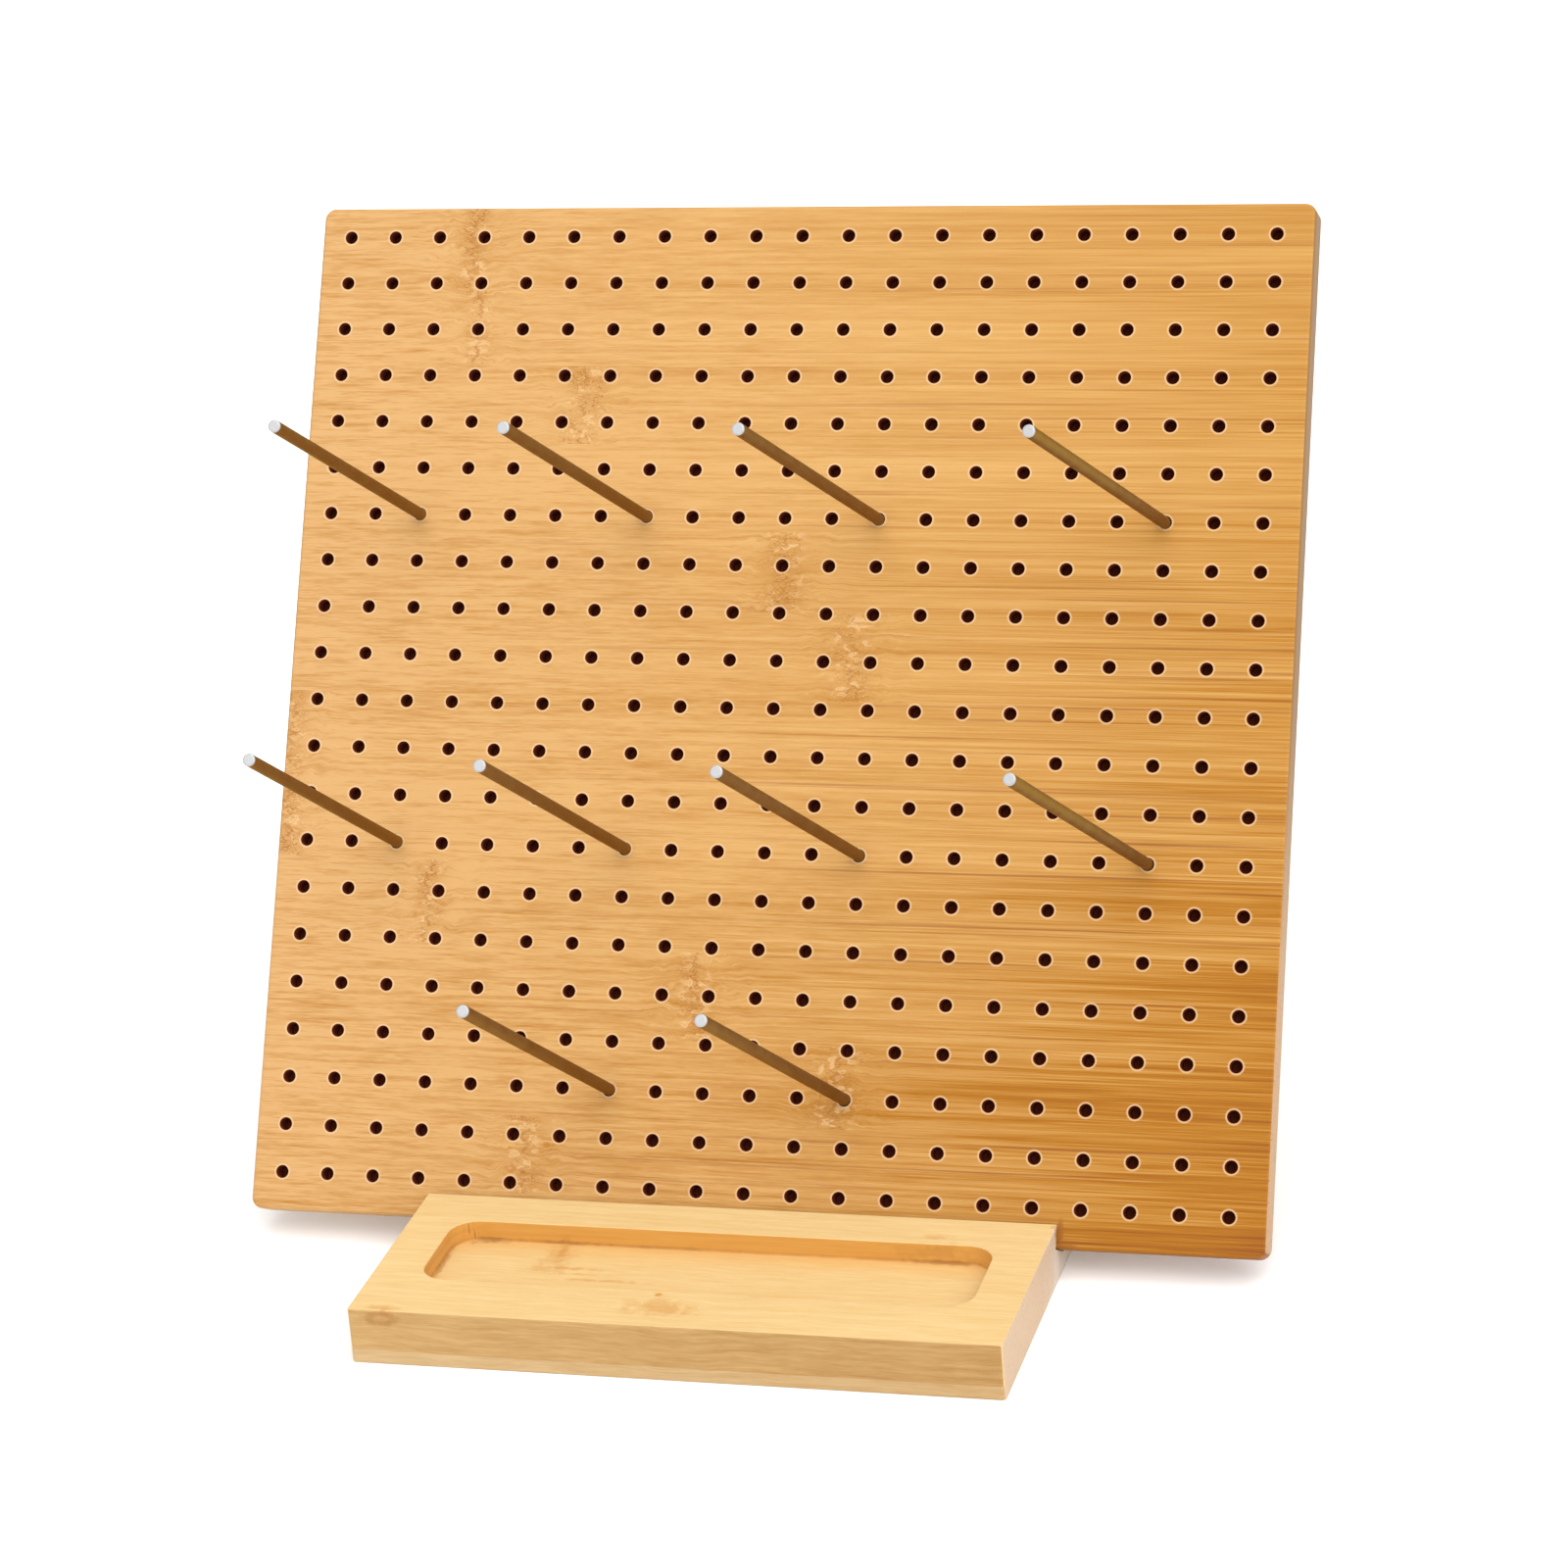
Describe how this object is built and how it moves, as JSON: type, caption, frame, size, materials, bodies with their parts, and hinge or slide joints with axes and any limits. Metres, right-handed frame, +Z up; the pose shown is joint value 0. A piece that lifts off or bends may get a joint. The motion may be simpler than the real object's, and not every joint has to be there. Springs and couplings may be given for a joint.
{
  "type": "blocking board",
  "caption": "Square drilled wooden board leaning in the slot of a small base with a pin tray; slim steel pins stand in its grid of holes to hold knitted squares to size.",
  "frame": {"origin": "middle of the base's underside, which rests on the table", "axes": "+X to the right seen from the front, along the slot; +Y to the back, the way the board leans; +Z up"},
  "size_m": [0.3, 0.2601, 0.2694],
  "materials": {
    "board_bamboo": "satin",
    "base_bamboo": "satin",
    "base_core_bamboo": "satin",
    "pin_steel": "polished"
  },
  "bodies": {
    "base": {"base_lower_ply": "base_core_bamboo", "base_upper_ply": "base_bamboo"},
    "board": {"pin_board": "board_bamboo"},
    "pin_01": {"pin_01": "pin_steel"},
    "pin_02": {"pin_02": "pin_steel"},
    "pin_03": {"pin_03": "pin_steel"},
    "pin_04": {"pin_04": "pin_steel"},
    "pin_05": {"pin_05": "pin_steel"},
    "pin_06": {"pin_06": "pin_steel"},
    "pin_07": {"pin_07": "pin_steel"},
    "pin_08": {"pin_08": "pin_steel"},
    "pin_09": {"pin_09": "pin_steel"},
    "pin_10": {"pin_10": "pin_steel"}
  },
  "joints": [
    {"name": "board_lift", "type": "slide", "parent": "base", "child": "board", "axis": [0, 0.5, 0.866], "range_m": [0, 0.03]},
    {"name": "pin_01_pull", "type": "slide", "parent": "board", "child": "pin_01", "axis": [0.0601, -0.8791, 0.4729], "range_m": [0, 0.02]},
    {"name": "pin_02_pull", "type": "slide", "parent": "board", "child": "pin_02", "axis": [0.0226, -0.8805, 0.4736], "range_m": [0, 0.02]},
    {"name": "pin_03_pull", "type": "slide", "parent": "board", "child": "pin_03", "axis": [-0.015, -0.8806, 0.4737], "range_m": [0, 0.02]},
    {"name": "pin_04_pull", "type": "slide", "parent": "board", "child": "pin_04", "axis": [-0.0601, -0.8791, 0.4729], "range_m": [0, 0.02]},
    {"name": "pin_05_pull", "type": "slide", "parent": "board", "child": "pin_05", "axis": [0.0601, -0.853, 0.5185], "range_m": [0, 0.02]},
    {"name": "pin_06_pull", "type": "slide", "parent": "board", "child": "pin_06", "axis": [0.0226, -0.8543, 0.5193], "range_m": [0, 0.02]},
    {"name": "pin_07_pull", "type": "slide", "parent": "board", "child": "pin_07", "axis": [-0.015, -0.8544, 0.5194], "range_m": [0, 0.02]},
    {"name": "pin_08_pull", "type": "slide", "parent": "board", "child": "pin_08", "axis": [-0.0601, -0.853, 0.5185], "range_m": [0, 0.02]},
    {"name": "pin_09_pull", "type": "slide", "parent": "board", "child": "pin_09", "axis": [0.0225, -0.8342, 0.551], "range_m": [0, 0.02]},
    {"name": "pin_10_pull", "type": "slide", "parent": "board", "child": "pin_10", "axis": [-0.015, -0.8343, 0.5511], "range_m": [0, 0.02]}
  ]
}
